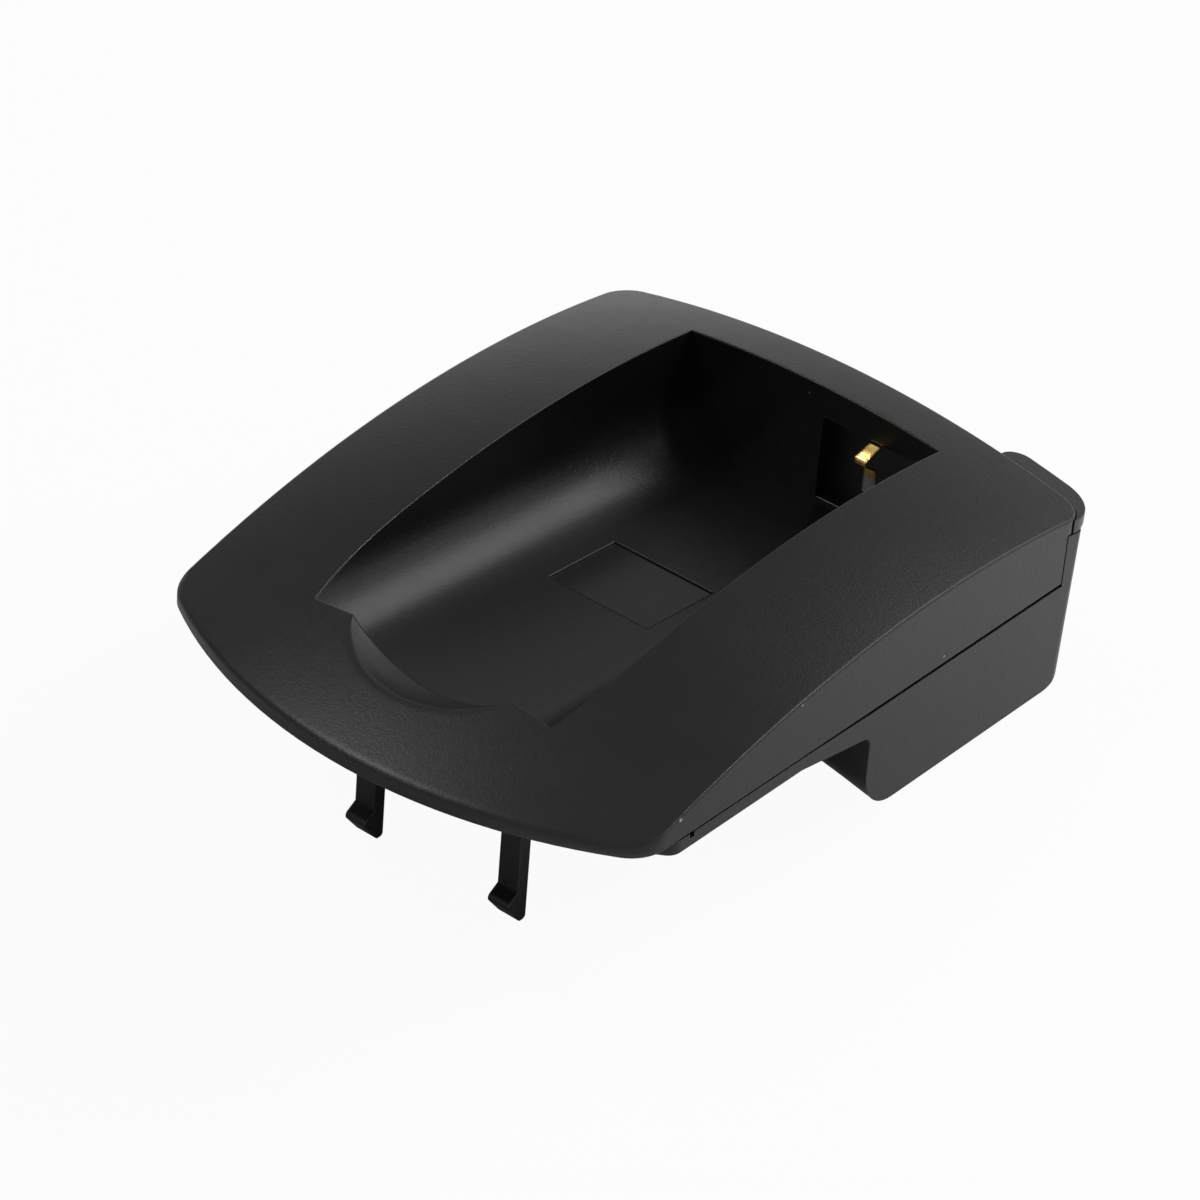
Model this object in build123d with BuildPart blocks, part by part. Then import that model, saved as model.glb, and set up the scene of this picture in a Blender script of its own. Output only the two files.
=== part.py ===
"""Charging plate for a flat camera battery.

A crowned top cover with a battery bay sits on a lower shell with a plug-in block and two snap hooks.
Spring contacts stand on a circuit board inside, terminals under the board meet the charger base.
"""
import os
from math import cos, radians, sin, sqrt, tan

from build123d import *

os.makedirs("parts", exist_ok=True)

# Sizes in millimetres. X runs across the plate, Y from the front lip (negative) to the rear, Z up.
# The origin is under the middle of the plate at the height of the hook tips.
# Heights are measured from the parting plane between the two shells unless said otherwise.
parting_height = 25.7

# Plan of the plate
plate_width = 73.1
front_reach = 48.1
front_arc_radius = 66.0
front_corner_radius = 5.5
rear_edge = 45.0
rear_corner_radius = 3.6

# Double-curved top face: an arch from front to rear, a crown from side to side
arch_crest_y = 18.0
side_crest = 10.95
front_rim = 2.21
crown_radius = 153.0
crease_round = 0.35
rim_round = 0.4

# Walls of the top cover
skin_wall = 2.0
skirt_wall = 1.8
front_lip_solid = 6.0

# Battery bay
bay_width = 38.7
bay_length = 70.0
bay_setback = 3.9
bay_floor_rear = -2.0
bay_floor_tilt = 3.5
bay_round = 9.0
tub_wall = 1.5
tub_rear_wall = 1.2
tub_floor = 1.2

# Thumb scoop, a part of a ball pressed into the front lip
scoop_radius = 19.0
scoop_setback = 3.95
scoop_height = 21.4

# Label recess in the bay floor
label_width = 15.3
label_length = 12.5
label_setback = 36.5
label_depth = 0.2

# Contact window in the rear wall of the bay
window_left = 2.0
window_right = 17.4
window_bottom = -1.5
window_top = 10.0

# Seam between the shells
seam_gap = 0.25
seam_gap_front = 0.02
seam_setback = 3.7
lip_gap = 0.15
seam_lip_wall = 1.0
seam_lip_height = 1.2

# Lower shell
lip_overhang = 4.0
strip_depth = 1.7
strip_corner_radius = 2.0
base_floor = 1.0
lower_wall = 3.0
ramp_start = -9.1
ramp_tilt = 8.6
block_front = 4.2
block_depth = 15.3
block_wall = 1.8
block_arch_radius = 165.0
block_front_round = 5.8
block_rear_round = 4.5
ramp_round = 1.5
pry_notch_y = -29.2
pry_notch_length = 0.7
pry_notch_depth = 0.6

# Pull lip at the right rear corner
pull_left = 23.2
pull_overhang = 3.1
pull_corner_radius = 5.0
pull_end_radius = 2.5
pull_drop = 0.3
pull_thickness = 3.3
pull_round = 1.6
pull_gap = 0.12
pull_foot_round = 1.1

# Snap hooks under the front
hook_pitch = 22.5
hook_width = 3.1
hook_thickness = 1.7
hook_y = -29.7
hook_barb = 2.0
hook_catch_height = 4.5
hook_barb_drop = 1.3
hook_tip_flat = 1.1
hook_nose_round = 0.7
hook_tip_round = 0.5

# Case screws and the bosses they pass
screw_x = 28.0
screw_inset = 15.8
screw_pitch = 38.0
boss_radius = 4.0
boss_joint = 3.0
screw_seat = 1.0
screw_head_radius = 2.5
screw_head_height = 1.8
screw_radius = 1.2
screw_length = 6.5
screw_clearance = 0.3
screw_slot_width = 0.8
screw_slot_length = 3.0
screw_slot_depth = 0.9
pilot_depth = 5.0

# Circuit board
board_width = 44.0
board_length = 30.0
board_thickness = 1.6
board_gap = 1.2
board_underside = -7.0
post_radius = 2.5
post_inset = 3.5

# Spring contacts
contact_xs = (10.1, 15.9)
contact_tops = (6.65, 5.0)
contact_width = 1.8
contact_thickness = 0.3
contact_bend = 0.5
contact_jog_bottom = 1.6
contact_jog_top = 3.0
contact_stand_off = 0.6
contact_nose_reach = 2.95
contact_nose_rise = 2.0
contact_arm_back = 0.7
contact_arm_rise = 3.0
contact_gap = 0.1

# Base terminals under the board
terminal_xs = (-7.5, -2.5, 2.5, 7.5)
terminal_y = 22.0
terminal_width = 2.0
terminal_thickness = 0.4
terminal_foot = 3.0
terminal_bow = 4.0
terminal_bottom = -10.7
terminal_bend = 0.6
terminal_slot_length = 8.0
terminal_clearance = 0.3

# Values that follow from the sizes above
half_width = plate_width / 2
seam_y = rear_edge - seam_setback
bay_rear = seam_y - bay_setback
bay_front = bay_rear - bay_length
scoop_y = bay_front + scoop_setback
label_y = bay_front + label_setback
crown_rise = crown_radius - sqrt(crown_radius**2 - half_width**2)
crest_height = side_crest + crown_rise
arch_span = arch_crest_y + front_reach
arch_drop = crest_height - front_rim
crest_arch_radius = (arch_span**2 + arch_drop**2) / (2 * arch_drop)
arch_axis = crest_height - crest_arch_radius
pull_reach = rear_edge + pull_overhang
arc_centre_y = front_arc_radius - front_reach
block_arch_rise = block_arch_radius - sqrt(block_arch_radius**2 - half_width**2)
block_arch_axis = block_arch_rise - block_depth - block_arch_radius
board_top = board_underside + board_thickness
board_rear = rear_edge - block_wall - board_gap
screw_rear_y = rear_edge - screw_inset
screw_front_y = screw_rear_y - screw_pitch
beyond = 10.0
screw_spots = [(x, y) for x in (-screw_x, screw_x) for y in (screw_front_y, screw_rear_y)]
post_xs = (post_inset - board_width / 2, board_width / 2 - post_inset)
post_ys = (board_rear - board_length + post_inset, board_rear - post_inset)
post_spots = [(x, y) for x in post_xs for y in post_ys]


def level(height):
    """Horizontal plane at a height above the parting plane."""
    return Plane.XY.offset(parting_height + height)


def lengthwise(x):
    """Upright plane along the plate, its own zero at the parting plane."""
    return Plane(origin=(x, 0, parting_height), x_dir=(0, 1, 0), z_dir=(1, 0, 0))


def bay_floor(y):
    """Height of the sloping bay floor."""
    return bay_floor_rear + tan(radians(bay_floor_tilt)) * (bay_rear - y)


def plan_sketch(height, front_setback, side_inset, rear_y, front_radius, rear_radius):
    """Plan of the plate with a bowed front, drawn at a height."""
    half = half_width - side_inset
    arc_radius = front_arc_radius - front_setback
    corner_y = arc_centre_y - sqrt(arc_radius**2 - half**2)
    with BuildSketch(level(height)) as plan:
        with BuildLine():
            bow = ThreePointArc((-half, corner_y), (0, arc_centre_y - arc_radius), (half, corner_y))
            Polyline(bow @ 1, (half, rear_y), (-half, rear_y), bow @ 0)
        make_face()
        fillet(plan.vertices().group_by(Axis.Y)[0], front_radius)
        fillet(plan.vertices().group_by(Axis.Y)[-1], rear_radius)
    return plan.sketch


def arched_body(depth):
    """Everything that lies deeper than depth under the double-curved top face."""
    with BuildPart() as body:
        with BuildSketch(Plane.XZ.offset(-arch_crest_y)):
            with Locations((0, parting_height + arch_axis)):
                Rectangle(plate_width + beyond, crest_height - arch_axis, align=(Align.CENTER, Align.MIN))
            with Locations((0, parting_height + crest_height - crown_radius)):
                Circle(crown_radius - depth, mode=Mode.INTERSECT)
        revolve(axis=Axis((0, arch_crest_y, parting_height + arch_axis), (1, 0, 0)))
    return body.part


def block_arch(depth):
    """Cylinder that hollows the underside of the block from side to side."""
    with BuildPart() as arch:
        with BuildSketch(Plane.XZ.offset(beyond)):
            with Locations((0, parting_height + block_arch_axis)):
                Circle(block_arch_radius + depth)
        extrude(amount=-(rear_edge + 3 * beyond))
    return arch.part


def bay_block(side_wall, front_wall, rear_wall, floor, top):
    """The space of the battery bay, or its tub when walls are given."""
    with BuildPart() as block:
        front = bay_front - front_wall
        rear = bay_rear + rear_wall
        with BuildSketch(lengthwise(0)):
            with BuildLine():
                Polyline(
                    (front, bay_floor(front) - floor),
                    (rear, bay_floor(rear) - floor),
                    (rear, top),
                    (front, top),
                    close=True,
                )
            make_face()
        extrude(amount=bay_width / 2 + side_wall, both=True)
        left_floor_edge = block.edges().group_by(Axis.X)[0].sort_by(Axis.Z)[0]
        right_floor_edge = block.edges().group_by(Axis.X)[-1].sort_by(Axis.Z)[0]
        fillet([left_floor_edge, right_floor_edge], bay_round + side_wall)
    return block.part


skin = arched_body(0)
under_skin = arched_body(skin_wall)
bay_space = bay_block(0, 0, 0, 0, crest_height + beyond)
tub_block = bay_block(tub_wall, tub_wall, tub_rear_wall, tub_floor, crest_height + beyond)

# Tub of the bay, kept just inside the skin of the cover
with BuildPart() as tub:
    add(tub_block)
    add(arched_body(skin_wall / 2), mode=Mode.INTERSECT)

# Room between skin, tub and bosses of the top cover, open below and at the rear
with BuildPart() as cover_room:
    room_plan = plan_sketch(-beyond, front_lip_solid, skirt_wall, seam_y, front_corner_radius, lip_gap)
    extrude(room_plan, amount=crest_height + 2 * beyond)
    with BuildSketch(level(-beyond)):
        with Locations((0, seam_y - skirt_wall)):
            Rectangle(plate_width - 2 * skirt_wall, beyond, align=(Align.CENTER, Align.MIN))
        with Locations((0, seam_y)):
            Rectangle(plate_width + beyond, beyond, align=(Align.CENTER, Align.MIN))
    extrude(amount=crest_height + 2 * beyond)
    add(under_skin, mode=Mode.INTERSECT)
    add(tub_block, mode=Mode.SUBTRACT)
    with Locations((0, scoop_y, parting_height + scoop_height)):
        Sphere(scoop_radius + tub_wall, mode=Mode.SUBTRACT)
    with BuildSketch(level(boss_joint)):
        with Locations(*screw_spots):
            Circle(boss_radius)
    extrude(amount=crest_height, mode=Mode.SUBTRACT)

with BuildPart() as top_cover:
    cover_plan = plan_sketch(0, 0, 0, rear_edge, front_corner_radius, rear_corner_radius)
    extrude(cover_plan, amount=crest_height)
    add(skin, mode=Mode.INTERSECT)
    crease = top_cover.faces().sort_by(Axis.Z)[-1].edges()
    fillet(crease, crease_round)
    rim_foot = top_cover.edges().group_by(Axis.Z)[0].sort_by(Axis.Y)[:3]
    fillet(rim_foot, rim_round)
    add(cover_room.part, mode=Mode.SUBTRACT)
    add(tub.part)
    add(bay_space, mode=Mode.SUBTRACT)
    with Locations((0, scoop_y, parting_height + scoop_height)):
        Sphere(scoop_radius, mode=Mode.SUBTRACT)
    # Label recess, square to the sloping floor
    floor_tilt = radians(bay_floor_tilt)
    floor_plane = Plane(
        origin=(0, label_y, parting_height + bay_floor(label_y)),
        x_dir=(1, 0, 0),
        z_dir=(0, sin(floor_tilt), cos(floor_tilt)),
    )
    with BuildSketch(floor_plane):
        Rectangle(label_width, label_length)
    extrude(amount=-label_depth, mode=Mode.SUBTRACT)
    # Contact window
    with BuildSketch(Plane.XZ.offset(-bay_rear - 2 * tub_rear_wall)):
        with Locations((window_left, parting_height + window_bottom)):
            Rectangle(
                window_right - window_left, window_top - window_bottom, align=(Align.MIN, Align.MIN)
            )
    extrude(amount=2 * tub_rear_wall, mode=Mode.SUBTRACT)
    # Pilot holes for the case screws
    with BuildSketch(level(boss_joint)):
        with Locations(*screw_spots):
            Circle(screw_radius + screw_clearance)
    extrude(amount=pilot_depth, mode=Mode.SUBTRACT)
top_cover.part.label = "top_cover"
export_step(top_cover.part, "parts/top_cover.step")

# Room inside the lower shell, less the bosses and the posts of the board
ramp_drop = tan(radians(ramp_tilt)) * (block_front - ramp_start)
with BuildPart() as shell_room:
    room_front = block_front + block_wall
    with BuildSketch(lengthwise(0)):
        with BuildLine():
            Polyline(
                (-front_reach, base_floor - strip_depth),
                (ramp_start, base_floor - strip_depth),
                (room_front, base_floor - strip_depth - ramp_drop),
                (room_front, -block_depth - beyond),
                (rear_edge - block_wall, -block_depth - beyond),
                (rear_edge - block_wall, crest_height + beyond),
                (-front_reach, crest_height + beyond),
                close=True,
            )
        make_face()
    extrude(amount=half_width - lower_wall, both=True)
    add(block_arch(block_wall), mode=Mode.SUBTRACT)
    with BuildSketch(level(boss_joint)):
        with Locations(*screw_spots):
            Circle(boss_radius)
    extrude(amount=-2 * block_depth, mode=Mode.SUBTRACT)
    with BuildSketch(level(board_underside)):
        with Locations(*post_spots):
            Circle(post_radius)
    extrude(amount=-block_depth, mode=Mode.SUBTRACT)

# Plan of the lower shell, full height
with BuildPart() as shell_plan:
    foot = -block_depth - beyond
    outline = plan_sketch(foot, lip_overhang, 0, rear_edge, strip_corner_radius, rear_corner_radius)
    extrude(outline, amount=crest_height + beyond - foot)
    # The right rear corner gets squarer towards the pull lip
    corner_sections = []
    for height, radius in ((foot, rear_corner_radius), (side_crest - pull_thickness, pull_foot_round)):
        with BuildSketch(level(height)) as corner:
            with Locations((half_width, rear_edge)):
                Rectangle(2 * rear_corner_radius, 2 * rear_corner_radius, align=(Align.MAX, Align.MAX))
            fillet(corner.vertices().group_by(Axis.Y)[-1].sort_by(Axis.X)[-1], radius)
        corner_sections.append(corner.sketch)
    loft(corner_sections)

# Lip that stands up inside the skirt of the cover
with BuildPart() as seam_lip:
    lip_front = front_lip_solid + lip_gap
    lip_side = skirt_wall + lip_gap
    lip_foot = -strip_depth / 2
    lip_plan = plan_sketch(lip_foot, lip_front, lip_side, seam_y - lip_side, front_corner_radius, lip_gap)
    extrude(lip_plan, amount=seam_lip_height - lip_foot)
    lip_front += seam_lip_wall
    lip_side += seam_lip_wall
    room_plan = plan_sketch(lip_foot, lip_front, lip_side, seam_y + beyond, front_corner_radius, lip_gap)
    extrude(room_plan, amount=seam_lip_height - lip_foot, mode=Mode.SUBTRACT)

# Pull lip, kept clear of the corner of the cover
with BuildPart() as pull_lip:
    with BuildSketch(level(0)) as pull_plan:
        with Locations((pull_left, seam_y)):
            Rectangle(half_width - pull_left, pull_reach - seam_y, align=(Align.MIN, Align.MIN))
        rear_corners = pull_plan.vertices().group_by(Axis.Y)[-1].sort_by(Axis.X)
        fillet(rear_corners[1], pull_corner_radius)
        rear_corners = pull_plan.vertices().group_by(Axis.Y)[-1].sort_by(Axis.X)
        fillet(rear_corners[0], pull_end_radius)
    extrude(amount=crest_height)
    add(arched_body(pull_drop), mode=Mode.INTERSECT)
    add(arched_body(pull_drop + pull_thickness), mode=Mode.SUBTRACT)
    underside = pull_lip.faces().filter_by(GeomType.REVOLUTION).sort_by(Axis.Z)[0]
    outer_edges = underside.edges().sort_by(Axis.Y)[-4:]
    fillet(outer_edges, pull_round)

# Corner of the cover with its gap, cut out of the pull lip
with BuildPart() as cover_corner:
    corner_radius = rear_corner_radius + pull_gap
    corner_plan = plan_sketch(0, 0, -pull_gap, rear_edge + pull_gap, front_corner_radius, corner_radius)
    extrude(corner_plan, amount=crest_height)
    add(arched_body(skin_wall + seam_gap), mode=Mode.SUBTRACT)

# Space over the rear wall of the lower shell, which ends under the cover's skin
with BuildPart() as over_tower:
    with BuildSketch(level(0)):
        with Locations((0, seam_y)):
            Rectangle(plate_width + beyond, beyond, align=(Align.CENTER, Align.MIN))
    extrude(amount=crest_height + beyond)
    add(arched_body(skin_wall + seam_gap), mode=Mode.SUBTRACT)

with BuildPart() as lower_shell:
    with BuildSketch(lengthwise(0)) as side_profile:
        with BuildLine():
            Polyline(
                (-front_reach, -seam_gap_front),
                (-front_reach, -strip_depth),
                (ramp_start, -strip_depth),
                (block_front, -strip_depth - ramp_drop),
                (block_front, -block_depth),
                (rear_edge, -block_depth),
                (rear_edge, crest_height),
                (seam_y + seam_gap, crest_height),
                (seam_y + seam_gap, -seam_gap),
                (block_front, -seam_gap),
                (ramp_start, -seam_gap_front),
                close=True,
            )
        make_face()
        ramp_foot = (block_front, -strip_depth - ramp_drop)
        fillet(side_profile.vertices().sort_by_distance(ramp_foot)[0], ramp_round)
    extrude(amount=half_width, both=True)
    add(block_arch(0), mode=Mode.SUBTRACT)
    arch_edges = lower_shell.edges().filter_by(GeomType.CIRCLE).group_by(SortBy.RADIUS)[-1]
    front_foot, rear_foot = arch_edges.sort_by(Axis.Y)
    fillet(rear_foot, block_rear_round)
    fillet(front_foot, block_front_round)
    add(shell_plan.part, mode=Mode.INTERSECT)
    add(over_tower.part, mode=Mode.SUBTRACT)
    add(shell_room.part, mode=Mode.SUBTRACT)
    add(seam_lip.part)
    add(pull_lip.part)
    add(cover_corner.part, mode=Mode.SUBTRACT)
    # Bosses above the parting plane
    with BuildSketch(level(base_floor - strip_depth)):
        with Locations(*screw_spots):
            Circle(boss_radius)
    extrude(amount=boss_joint + strip_depth - base_floor)
    # Wells and holes of the case screws
    with BuildSketch(level(screw_seat)):
        with Locations(*screw_spots):
            Circle(screw_head_radius + screw_clearance)
    extrude(amount=-2 * block_depth, mode=Mode.SUBTRACT)
    with BuildSketch(level(boss_joint)):
        with Locations(*screw_spots):
            Circle(screw_radius + screw_clearance)
    extrude(amount=-boss_joint, mode=Mode.SUBTRACT)
    # Slots of the base terminals
    with BuildSketch(level(board_underside)):
        with Locations(*[(x, terminal_y) for x in terminal_xs]):
            Rectangle(terminal_width + 2 * terminal_clearance, terminal_slot_length)
    extrude(amount=-block_depth, mode=Mode.SUBTRACT)
    # Snap hooks
    for side in (-1, 1):
        with BuildSketch(lengthwise(side * hook_pitch / 2)) as hook:
            with BuildLine():
                Polyline(
                    (hook_y, base_floor - strip_depth),
                    (hook_y, hook_catch_height - parting_height),
                    (hook_y - hook_barb, hook_catch_height - hook_barb_drop - parting_height),
                    (hook_y + hook_thickness - hook_tip_flat, -parting_height),
                    (hook_y + hook_thickness, -parting_height),
                    (hook_y + hook_thickness, base_floor - strip_depth),
                    close=True,
                )
            make_face()
            fillet(hook.vertices().sort_by(Axis.X)[0], hook_nose_round)
            fillet(hook.vertices().group_by(Axis.Y)[0], hook_tip_round)
        extrude(amount=hook_width / 2, both=True)
    # Small pry notches in the parting line
    with BuildSketch(level(0)):
        with Locations((-half_width, pry_notch_y), (half_width, pry_notch_y)):
            Rectangle(skirt_wall, pry_notch_length)
    extrude(amount=-pry_notch_depth, mode=Mode.SUBTRACT)
lower_shell.part.label = "lower_shell"
export_step(lower_shell.part, "parts/lower_shell.step")

with BuildPart() as circuit_board:
    with BuildSketch(level(board_underside)):
        with Locations((0, board_rear)):
            Rectangle(board_width, board_length, align=(Align.CENTER, Align.MAX))
    extrude(amount=board_thickness)
circuit_board.part.label = "circuit_board"
export_step(circuit_board.part, "parts/circuit_board.step")

with BuildPart() as contact_springs:
    leg_y = bay_rear + tub_rear_wall + contact_gap + contact_thickness / 2
    face_y = bay_rear - contact_stand_off
    for x, top in zip(contact_xs, contact_tops):
        with BuildSketch(lengthwise(x)):
            with BuildLine():
                FilletPolyline(
                    (leg_y, board_top),
                    (leg_y, contact_jog_bottom),
                    (face_y, contact_jog_top),
                    (face_y, top),
                    (face_y - contact_nose_reach, top + contact_nose_rise),
                    (face_y + contact_arm_back, top + contact_arm_rise),
                    radius=contact_bend,
                )
            trace(line_width=contact_thickness)
        extrude(amount=contact_width / 2, both=True)
contact_springs.part.label = "contact_springs"
export_step(contact_springs.part, "parts/contact_springs.step")

with BuildPart() as base_terminals:
    foot_height = board_underside - terminal_thickness / 2
    foot_y = terminal_y - terminal_bow / 2
    for x in terminal_xs:
        with BuildSketch(lengthwise(x)):
            with BuildLine():
                FilletPolyline(
                    (foot_y - terminal_foot, foot_height),
                    (foot_y, foot_height),
                    (terminal_y, terminal_bottom + terminal_thickness / 2),
                    (foot_y + terminal_bow, foot_height - terminal_thickness),
                    radius=terminal_bend,
                )
            trace(line_width=terminal_thickness)
        extrude(amount=terminal_width / 2, both=True)
base_terminals.part.label = "base_terminals"
export_step(base_terminals.part, "parts/base_terminals.step")

with BuildPart() as case_screws:
    with BuildSketch(level(screw_seat)):
        with Locations(*screw_spots):
            Circle(screw_head_radius)
    extrude(amount=-screw_head_height)
    with BuildSketch(level(screw_seat)):
        with Locations(*screw_spots):
            Circle(screw_radius)
    extrude(amount=screw_length)
    with BuildSketch(level(screw_seat - screw_head_height)):
        with Locations(*screw_spots):
            Rectangle(screw_slot_length, screw_slot_width)
            Rectangle(screw_slot_width, screw_slot_length)
    extrude(amount=screw_slot_depth, mode=Mode.SUBTRACT)
case_screws.part.label = "case_screws"
export_step(case_screws.part, "parts/case_screws.step")
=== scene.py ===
"""Looks of the charging plate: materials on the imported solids, a pale stage and the camera."""
from math import cos, radians, sin, tan

import bpy
from mathutils import Matrix, Vector

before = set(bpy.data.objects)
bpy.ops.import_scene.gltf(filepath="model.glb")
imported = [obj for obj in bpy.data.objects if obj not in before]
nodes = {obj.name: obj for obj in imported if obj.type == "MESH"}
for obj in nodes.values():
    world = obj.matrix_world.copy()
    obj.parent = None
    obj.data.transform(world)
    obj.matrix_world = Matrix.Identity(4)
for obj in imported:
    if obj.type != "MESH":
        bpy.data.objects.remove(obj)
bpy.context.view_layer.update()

MM = 0.001

# Places on the part, in millimetres of the row frame
PARTING = 25.7
BAY_REAR = 37.4
BAY_FLOOR_REAR = -2.0
BAY_TILT = 3.5
LABEL_Y = 3.9
LABEL_HALF_WIDTH = 7.65
LABEL_HALF_LENGTH = 6.25
LABEL_DEPTH = 0.2
LABEL_BAND = 0.6
FRONT_ARC_RADIUS = 66.0
FRONT_ARC_CENTRE_Y = 17.9
SCOOP_CENTRE = (0.0, -28.65, 47.1)
SCOOP_RADIUS = 19.0
INNER_HALF_WIDTH = 33.4
INNER_FRONT_Y = 38.7
INNER_REAR_Y = 43.3
INNER_TOP = 33.5
PLATING_FOOT = 30.9
PLATING_FULL = 31.7

# Moulding radii of the edges, in millimetres, and where one gives way to the next
EDGE_RADIUS = 0.42
RIGHT_EDGE_RADIUS = 0.18
RIGHT_EDGE_START, RIGHT_EDGE_FULL = 17.0, 19.0
LIP_RADIUS = 1.4
LIP_START, LIP_FULL = 2.4, 1.6
RIM_RADIUS = 2.0
RIM_START_Y, RIM_FULL_Y = -33.4, -36.4
RIM_FULL, RIM_END = 0.9, 1.5
CONTACT_EDGE_RADIUS = 0.6
OPEN_SKY_REACH = 0.6

# Colours of the case, linear
BLACK = (0.0030, 0.0030, 0.0031)
WORN_BLACK = (0.0042, 0.0042, 0.0043)
GRAIN_TOP = (0.0055, 0.0055, 0.0056)
RUBBED_EDGE = (0.016, 0.016, 0.0165)
# Painted light: a lighter colour that lifts the shade on the inner faces behind the contact window
INSIDE_PAINTED_LIGHT = (0.06, 0.06, 0.06)
DUST = (0.25, 0.25, 0.25)
CHIP = (0.35, 0.35, 0.35)

# Chips and dust seen in the photograph: place and radius in millimetres
SPECKS = ((36.5, -31.6, 28.75, 0.32), (36.5, -10.4, 33.8, 0.2), (36.5, 17.6, 26.9, 0.2))

# Camera, as the photograph was taken
VIEW_AZIMUTH = 37.49
VIEW_ELEVATION = 34.10
VIEW_ROLL = 4.70
VIEW_DISTANCE = 0.611
VIEW_TARGET = Vector((-0.00518, 0.00480, 0.02055))
VIEW_LENS = 151.68
SENSOR = 36.0

# The plate rests on the hook tips and on the rear edge of its block
FLOOR_TILT = 8.53
FLOOR_OFFSET = 0.00419
FLOOR_REACH = 2.5
FLOOR_SHADE = 0.42
FLOOR_GLOW = 0.95
MIRROR_START_Y, MIRROR_FULL_Y = -0.012, 0.11

# Soft lamps, all turned to the plate: name, place, size of the square, watts
PLATE_CENTRE = Vector((0.0, 0.0, 0.02))
PLATE_LAMPS = (
    ("key_right_rear", (0.24, 0.68, 0.70), 0.55, 2.0),
    ("fill_front_left", (-0.50, -0.16, 0.84), 0.30, 0.8),
    ("edge_right", (0.62, 0.38, 0.69), 0.12, 1.5),
    ("edge_front", (-0.42, -0.38, 0.82), 0.16, 1.2),
)
TABLE_LAMP = ("table_light", (0.45, 0.85, 0.55), 0.50, 22.0)
CONTACT_LAMP = ("contact_glint", (-0.42, 0.34, 0.82), 0.16, 0.5)


def node(tree, kind, **values):
    """New shader node; values name attributes or, with a leading i_, input sockets by number."""
    made = tree.nodes.new(kind)
    for key, value in values.items():
        if key.startswith("i_"):
            made.inputs[int(key[2:])].default_value = value
        else:
            setattr(made, key, value)
    return made


def link(tree, source, target):
    """Join an output socket to an input socket."""
    tree.links.new(source, target)


def math(tree, operation, first, second=None):
    """Math node on sockets or numbers, giving its output socket."""
    made = node(tree, "ShaderNodeMath", operation=operation)
    for index, value in enumerate((first, second)):
        if value is None:
            continue
        if isinstance(value, (int, float)):
            made.inputs[index].default_value = value
        else:
            link(tree, value, made.inputs[index])
    return made.outputs[0]


def product(tree, first, *others):
    """Product of sockets or numbers."""
    for other in others:
        first = math(tree, "MULTIPLY", first, other)
    return first


def within(tree, value, low, high):
    """One where a socket lies between two numbers, and zero elsewhere."""
    above = math(tree, "GREATER_THAN", value, low)
    return product(tree, above, math(tree, "LESS_THAN", value, high))


def ramp(tree, value, low, high, to_low, to_high, smooth=True):
    """Map a range of a socket to another range."""
    made = node(tree, "ShaderNodeMapRange", i_1=low, i_2=high, i_3=to_low, i_4=to_high)
    if smooth:
        made.interpolation_type = "SMOOTHSTEP"
    link(tree, value, made.inputs[0])
    return made.outputs[0]


def split(tree, vector):
    """The three axes of a vector socket."""
    made = node(tree, "ShaderNodeSeparateXYZ")
    link(tree, vector, made.inputs[0])
    return made.outputs


def distance(tree, place, point):
    """Distance of a place socket from a point in millimetres of the row frame."""
    made = node(tree, "ShaderNodeVectorMath", operation="DISTANCE")
    link(tree, place, made.inputs[0])
    made.inputs[1].default_value = [value * MM for value in point]
    return made.outputs["Value"]


def noise(tree, place, scale, detail, roughness=0.55, distortion=0.0):
    """Noise texture over a place socket."""
    made = node(tree, "ShaderNodeTexNoise")
    made.inputs["Scale"].default_value = scale
    made.inputs["Detail"].default_value = detail
    made.inputs["Roughness"].default_value = roughness
    made.inputs["Distortion"].default_value = distortion
    link(tree, place, made.inputs["Vector"])
    return made.outputs[0]


def mix_colour(tree, factor, first, second):
    """Mix of two colours, each a tuple or a socket."""
    made = node(tree, "ShaderNodeMix", data_type="RGBA")
    link(tree, factor, made.inputs["Factor"])
    for index, value in ((6, first), (7, second)):
        if isinstance(value, tuple):
            made.inputs[index].default_value = (*value, 1.0)
        else:
            link(tree, value, made.inputs[index])
    return made.outputs[2]


def bump(tree, height, strength, depth, normal=None):
    """Bump node on a height socket, over another normal where one is given."""
    made = node(tree, "ShaderNodeBump")
    made.inputs["Strength"].default_value = strength
    made.inputs["Distance"].default_value = depth
    link(tree, height, made.inputs["Height"])
    if normal is not None:
        link(tree, normal, made.inputs["Normal"])
    return made.outputs[0]


def new_material(name):
    """Empty material with its tree, its shader and the place on the part in metres."""
    material = bpy.data.materials.new(name)
    material.use_nodes = True
    tree = material.node_tree
    shader = tree.nodes["Principled BSDF"]
    place = node(tree, "ShaderNodeTexCoord").outputs["Object"]
    return material, tree, shader, place


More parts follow.
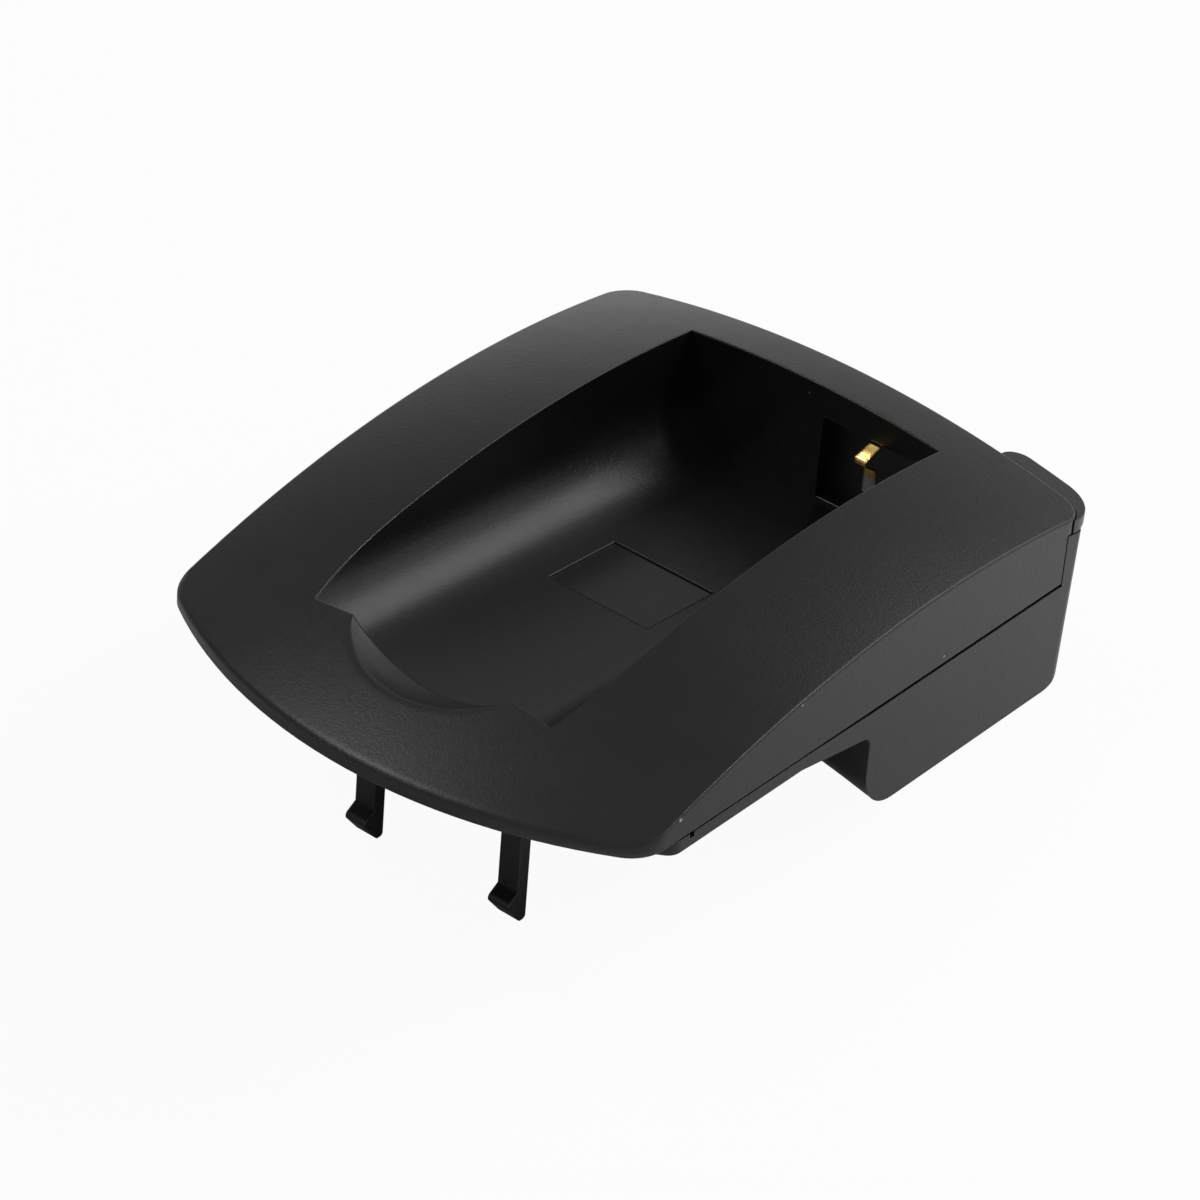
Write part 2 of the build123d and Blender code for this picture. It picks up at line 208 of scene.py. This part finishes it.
def edge_radius(tree, place):
    """Radius of the edge near a place: small, but soft at the front lip and the scoop's far rim."""
    x, y, _ = split(tree, place)
    bay_edge = ramp(tree, x, RIGHT_EDGE_START * MM, RIGHT_EDGE_FULL * MM,
                    EDGE_RADIUS * MM, RIGHT_EDGE_RADIUS * MM)
    ahead = math(tree, "SUBTRACT", y, FRONT_ARC_CENTRE_Y * MM)
    reach = math(tree, "ADD", product(tree, x, x), product(tree, ahead, ahead))
    reach = math(tree, "SQRT", reach)
    front = FRONT_ARC_RADIUS * MM
    lip_edge = ramp(tree, reach, front - LIP_START * MM, front - LIP_FULL * MM, 0.0, LIP_RADIUS * MM)
    ball = SCOOP_RADIUS * MM
    near_rim = ramp(tree, distance(tree, place, SCOOP_CENTRE),
                    ball + RIM_FULL * MM, ball + RIM_END * MM, 1.0, 0.0)
    far_side = ramp(tree, y, RIM_START_Y * MM, RIM_FULL_Y * MM, 0.0, RIM_RADIUS * MM)
    wide_edge = math(tree, "MAXIMUM", lip_edge, product(tree, near_rim, far_side))
    return math(tree, "MAXIMUM", bay_edge, wide_edge)


def moulded_edges(tree, place):
    """Normal with rounded outer edges, and a mask of the edges that are rubbed."""
    edge = node(tree, "ShaderNodeBevel", samples=8)
    link(tree, edge_radius(tree, place), edge.inputs["Radius"])
    true_normal = node(tree, "ShaderNodeNewGeometry").outputs["Normal"]
    turn = node(tree, "ShaderNodeVectorMath", operation="DOT_PRODUCT")
    link(tree, edge.outputs[0], turn.inputs[0])
    link(tree, true_normal, turn.inputs[1])
    turned = ramp(tree, turn.outputs["Value"], 0.99, 0.80, 0.0, 1.0)
    # Only edges that stand out are rounded and rubbed, the inner corners aren't
    open_sky = node(tree, "ShaderNodeAmbientOcclusion", samples=4, only_local=True)
    open_sky.inputs["Distance"].default_value = OPEN_SKY_REACH * MM
    outer = ramp(tree, open_sky.outputs["AO"], 0.75, 0.95, 0.0, 1.0)
    rounded = node(tree, "ShaderNodeMix", data_type="VECTOR")
    link(tree, outer, rounded.inputs["Factor"])
    link(tree, true_normal, rounded.inputs[4])
    link(tree, edge.outputs[0], rounded.inputs[5])
    return rounded.outputs[1], product(tree, turned, outer)


def label_recess(tree, place):
    """Mask of the smooth floor of the label recess."""
    x, y, z = split(tree, place)
    slope = tan(radians(BAY_TILT))
    level = (PARTING + BAY_FLOOR_REAR + slope * BAY_REAR - LABEL_DEPTH / 2) * MM
    over_floor = math(tree, "ADD", z, product(tree, y, slope))
    return product(
        tree,
        within(tree, over_floor, level - LABEL_BAND * MM, level),
        within(tree, x, -LABEL_HALF_WIDTH * MM, LABEL_HALF_WIDTH * MM),
        within(tree, y, (LABEL_Y - LABEL_HALF_LENGTH) * MM, (LABEL_Y + LABEL_HALF_LENGTH) * MM),
    )


def inside_painted_light_mask(tree, place):
    """Mask of the inner faces seen through the contact window, where painted light lifts their shade.
    """
    x, y, z = split(tree, place)
    return product(
        tree,
        within(tree, x, -INNER_HALF_WIDTH * MM, INNER_HALF_WIDTH * MM),
        within(tree, y, INNER_FRONT_Y * MM, INNER_REAR_Y * MM),
        math(tree, "LESS_THAN", z, INNER_TOP * MM),
    )


def loose_dust(tree, place):
    """Mask of small specks, at most one in each cell."""
    cells = node(tree, "ShaderNodeTexVoronoi")
    cells.inputs["Scale"].default_value = 130.0
    link(tree, place, cells.inputs["Vector"])
    chance = node(tree, "ShaderNodeSeparateColor")
    link(tree, cells.outputs["Color"], chance.inputs[0])
    size = ramp(tree, chance.outputs[0], 0.72, 1.0, 0.0, 0.022, False)
    return math(tree, "LESS_THAN", cells.outputs["Distance"], size)


def case_plastic():
    """Black moulded plastic: fine spark-eroded grain, handling sheen, polished edges, dust, and
    painted light on the inner faces behind the contact window.
    """
    material, tree, shader, place = new_material("case_plastic")
    normal, rubbed = moulded_edges(tree, place)
    label = label_recess(tree, place)
    smear = noise(tree, place, 38.0, 4.0, 0.6, 0.8)
    cloud = noise(tree, place, 420.0, 3.0)
    grain = noise(tree, place, 3600.0, 3.0, 0.65)
    pits = noise(tree, place, 1500.0, 2.0, 0.5)

    # Colour: near black, a little lighter where the grain is worn and on the edges
    base = mix_colour(tree, ramp(tree, smear, 0.3, 0.7, 0.0, 1.0), BLACK, WORN_BLACK)
    base = mix_colour(tree, ramp(tree, grain, 0.35, 0.75, 0.0, 0.5), base, GRAIN_TOP)
    base = mix_colour(tree, product(tree, rubbed, 0.55), base, RUBBED_EDGE)
    # Painted light: the inner faces seen through the contact window get a lighter colour that stands
    # in for light reaching their shade
    base = mix_colour(tree, inside_painted_light_mask(tree, place), base, INSIDE_PAINTED_LIGHT)
    base = mix_colour(tree, product(tree, loose_dust(tree, place), 0.5), base, DUST)
    for *spot, size in SPECKS:
        away = distance(tree, place, spot)
        chip = ramp(tree, away, 0.5 * size * MM, size * MM, 1.0, 0.0)
        base = mix_colour(tree, chip, base, CHIP)
    link(tree, base, shader.inputs["Base Color"])

    rough = ramp(tree, smear, 0.3, 0.7, 0.31, 0.34)
    rough = math(tree, "ADD", rough, ramp(tree, cloud, 0.3, 0.7, -0.012, 0.012))
    rough = math(tree, "SUBTRACT", rough, product(tree, rubbed, 0.10))
    rough = math(tree, "SUBTRACT", rough, product(tree, label, 0.15))
    link(tree, rough, shader.inputs["Roughness"])
    shader.inputs["Specular IOR Level"].default_value = 0.5

    # The grain is fainter on the label recess
    height = math(tree, "ADD", product(tree, grain, 0.7), product(tree, pits, 0.5))
    height = product(tree, height, ramp(tree, label, 0.0, 1.0, 1.0, 0.25, False))
    link(tree, bump(tree, height, 0.46, 0.07 * MM, normal), shader.inputs["Normal"])
    return material


def contact_gold():
    """Spring leaf: gold flash at the nose, nickel lower down, drawn lengthwise."""
    material, tree, shader, place = new_material("contact_gold")
    stretch = node(tree, "ShaderNodeMapping")
    stretch.inputs["Scale"].default_value = (9.0, 1.0, 1.0)
    link(tree, place, stretch.inputs["Vector"])
    drawn = noise(tree, stretch.outputs[0], 700.0, 3.0)
    stain = noise(tree, place, 900.0, 3.0)
    height = math(tree, "ADD", split(tree, place)[2], product(tree, stain, 0.6 * MM))
    plated = ramp(tree, height, PLATING_FOOT * MM, PLATING_FULL * MM, 0.0, 1.0)
    stained = ramp(tree, stain, 0.35, 0.7, 0.0, 1.0)
    gold = mix_colour(tree, stained, (1.0, 0.72, 0.26), (0.86, 0.55, 0.16))
    scored = ramp(tree, drawn, 0.3, 0.7, 0.0, 1.0)
    nickel = mix_colour(tree, scored, (0.86, 0.85, 0.84), (0.70, 0.69, 0.68))
    link(tree, mix_colour(tree, plated, nickel, gold), shader.inputs["Base Color"])
    link(tree, ramp(tree, drawn, 0.25, 0.75, 0.20, 0.28), shader.inputs["Roughness"])
    shader.inputs["Metallic"].default_value = 1.0
    edge = node(tree, "ShaderNodeBevel", samples=8)
    edge.inputs["Radius"].default_value = CONTACT_EDGE_RADIUS * MM
    link(tree, bump(tree, drawn, 0.06, 0.01 * MM, edge.outputs[0]), shader.inputs["Normal"])
    return material


def circuit_laminate():
    """Green solder mask over woven laminate, with dull copper tracks showing through."""
    material, tree, shader, place = new_material("circuit_laminate")
    tracks = node(tree, "ShaderNodeTexBrick", offset=0.5, squash=1.0)
    tracks.inputs["Scale"].default_value = 420.0
    tracks.inputs["Mortar Size"].default_value = 0.05
    tracks.inputs["Color1"].default_value = (0.012, 0.085, 0.035, 1.0)
    tracks.inputs["Color2"].default_value = (0.015, 0.105, 0.045, 1.0)
    tracks.inputs["Mortar"].default_value = (0.045, 0.16, 0.06, 1.0)
    link(tree, place, tracks.inputs["Vector"])
    weave = noise(tree, place, 1800.0, 2.0)
    woven = ramp(tree, weave, 0.3, 0.7, 0.0, 0.4)
    shade = mix_colour(tree, woven, tracks.outputs["Color"], (0.02, 0.06, 0.03))
    link(tree, shade, shader.inputs["Base Color"])
    link(tree, ramp(tree, weave, 0.3, 0.7, 0.30, 0.42), shader.inputs["Roughness"])
    link(tree, bump(tree, tracks.outputs["Fac"], 0.2, 0.03 * MM), shader.inputs["Normal"])
    return material


def plated_metal(name, light, dark, grain_scale, rough_low, rough_high):
    """Plated small metal part with fine scratches and dull patches."""
    material, tree, shader, place = new_material(name)
    scratch = noise(tree, place, grain_scale, 4.0, 0.7, 0.4)
    patch = ramp(tree, noise(tree, place, grain_scale / 6, 3.0), 0.3, 0.7, 0.0, 1.0)
    link(tree, mix_colour(tree, patch, light, dark), shader.inputs["Base Color"])
    link(tree, ramp(tree, scratch, 0.3, 0.7, rough_low, rough_high), shader.inputs["Roughness"])
    shader.inputs["Metallic"].default_value = 1.0
    link(tree, bump(tree, scratch, 0.12, 0.03 * MM), shader.inputs["Normal"])
    return material


def dress(name, material):
    """Give a CAD node its material."""
    slots = nodes[name].material_slots
    if slots:
        for slot in slots:
            slot.link = "OBJECT"
            slot.material = material
    else:
        nodes[name].data.materials.append(material)


def table_material():
    """Pale table: white to the camera, and in reflections towards the backdrop; clear from below."""
    material = bpy.data.materials.new("stage_floor")
    material.use_nodes = True
    tree = material.node_tree
    shader = tree.nodes["Principled BSDF"]
    shader.inputs["Base Color"].default_value = (FLOOR_SHADE, FLOOR_SHADE, FLOOR_SHADE, 1.0)
    shader.inputs["Roughness"].default_value = 0.9
    shader.inputs["Specular IOR Level"].default_value = 0.0
    rays = node(tree, "ShaderNodeLightPath").outputs
    mirrored = math(tree, "ADD", rays["Is Glossy Ray"], rays["Is Transmission Ray"])
    # In front the table lies in the plate's shadow, and reflections show that
    y = split(tree, node(tree, "ShaderNodeTexCoord").outputs["Object"])[1]
    mirrored = product(tree, mirrored, ramp(tree, y, MIRROR_START_Y, MIRROR_FULL_Y, 0.0, 1.0))
    seen = math(tree, "MAXIMUM", rays["Is Camera Ray"], mirrored)
    white = node(tree, "ShaderNodeMixShader")
    link(tree, product(tree, seen, FLOOR_GLOW), white.inputs[0])
    link(tree, shader.outputs[0], white.inputs[1])
    link(tree, node(tree, "ShaderNodeEmission").outputs[0], white.inputs[2])
    below = node(tree, "ShaderNodeMixShader")
    link(tree, node(tree, "ShaderNodeNewGeometry").outputs["Backfacing"], below.inputs[0])
    link(tree, white.outputs[0], below.inputs[1])
    link(tree, node(tree, "ShaderNodeBsdfTransparent").outputs[0], below.inputs[2])
    link(tree, below.outputs[0], tree.nodes["Material Output"].inputs["Surface"])
    return material


def stage_floor():
    """Table under the tilted plate, which keeps the plate's shadow."""
    mesh = bpy.data.meshes.new("stage_floor")
    corners = [(x * FLOOR_REACH, y * FLOOR_REACH, 0) for x, y in ((-1, -1), (1, -1), (1, 1), (-1, 1))]
    mesh.from_pydata(corners, [], [(0, 1, 2, 3)])
    floor = bpy.data.objects.new("stage_floor", mesh)
    bpy.context.collection.objects.link(floor)
    tilt = radians(FLOOR_TILT)
    floor.rotation_euler = (tilt, 0, 0)
    floor.location = Vector((0, -sin(tilt), cos(tilt))) * FLOOR_OFFSET
    mesh.materials.append(table_material())
    return floor


def studio_world():
    """Dim room, bright low down behind the plate and to its right; white to the camera."""
    world = bpy.data.worlds.new("studio")
    bpy.context.scene.world = world
    world.use_nodes = True
    tree = world.node_tree
    back = tree.nodes["Background"]
    back.inputs["Color"].default_value = (1.0, 1.0, 1.0, 1.0)
    x, y, z = split(tree, node(tree, "ShaderNodeTexCoord").outputs["Generated"])
    low_down = ramp(tree, z, 0.12, 0.55, 1.0, 0.0)
    rear = product(tree, low_down, ramp(tree, y, 0.0, 0.7, 0.0, 0.53))
    right = product(tree, low_down, ramp(tree, x, 0.1, 0.8, 0.0, 0.20))
    room = ramp(tree, x, -0.7, 0.1, 0.26, 0.43)
    share = math(tree, "ADD", room, math(tree, "MAXIMUM", rear, right))
    rays = node(tree, "ShaderNodeLightPath").outputs
    white = math(tree, "MAXIMUM", share, rays["Is Camera Ray"])
    link(tree, white, back.inputs["Strength"])


def softbox(name, place, size, power, only=None):
    """Square area lamp at a place, turned to the plate; it can be kept to one object."""
    lamp = bpy.data.lights.new(name, "AREA")
    lamp.shape = "SQUARE"
    lamp.size = size
    lamp.energy = power
    holder = bpy.data.objects.new(name, lamp)
    bpy.context.collection.objects.link(holder)
    holder.location = place
    holder.rotation_euler = (PLATE_CENTRE - Vector(place)).to_track_quat("-Z", "Y").to_euler()
    if only is not None:
        lit = bpy.data.collections.new(name)
        lit.objects.link(only)
        holder.light_linking.receiver_collection = lit


def camera():
    """Camera at the photograph's angle."""
    azimuth, elevation, roll = map(radians, (VIEW_AZIMUTH, VIEW_ELEVATION, VIEW_ROLL))
    level_back = Vector((sin(azimuth), -cos(azimuth), 0))
    back = level_back * cos(elevation) + Vector((0, 0, sin(elevation)))
    level = Vector((cos(azimuth), sin(azimuth), 0))
    rise = back.cross(level)
    right = level * cos(roll) + rise * sin(roll)
    up = rise * cos(roll) - level * sin(roll)
    lens = bpy.data.cameras.new("camera")
    lens.lens = VIEW_LENS
    lens.sensor_width = SENSOR
    lens.clip_start = 0.01
    eye = bpy.data.objects.new("camera", lens)
    bpy.context.collection.objects.link(eye)
    turn = Matrix((right, up, back)).transposed().to_4x4()
    eye.matrix_world = Matrix.Translation(VIEW_TARGET + back * VIEW_DISTANCE) @ turn
    bpy.context.scene.camera = eye


plastic = case_plastic()
brass = plated_metal("terminal_metal", (0.78, 0.57, 0.26), (0.58, 0.40, 0.17), 2400.0, 0.22, 0.40)
steel = plated_metal("screw_steel", (0.46, 0.46, 0.47), (0.30, 0.30, 0.31), 2000.0, 0.28, 0.48)
dress("top_cover", plastic)
dress("lower_shell", plastic)
dress("contact_springs", contact_gold())
dress("circuit_board", circuit_laminate())
dress("base_terminals", brass)
dress("case_screws", steel)

table = stage_floor()
studio_world()
for values in PLATE_LAMPS:
    softbox(*values)
softbox(*TABLE_LAMP, only=table)
softbox(*CONTACT_LAMP, only=nodes["contact_springs"])
camera()

bpy.context.scene.view_settings.view_transform = "Standard"
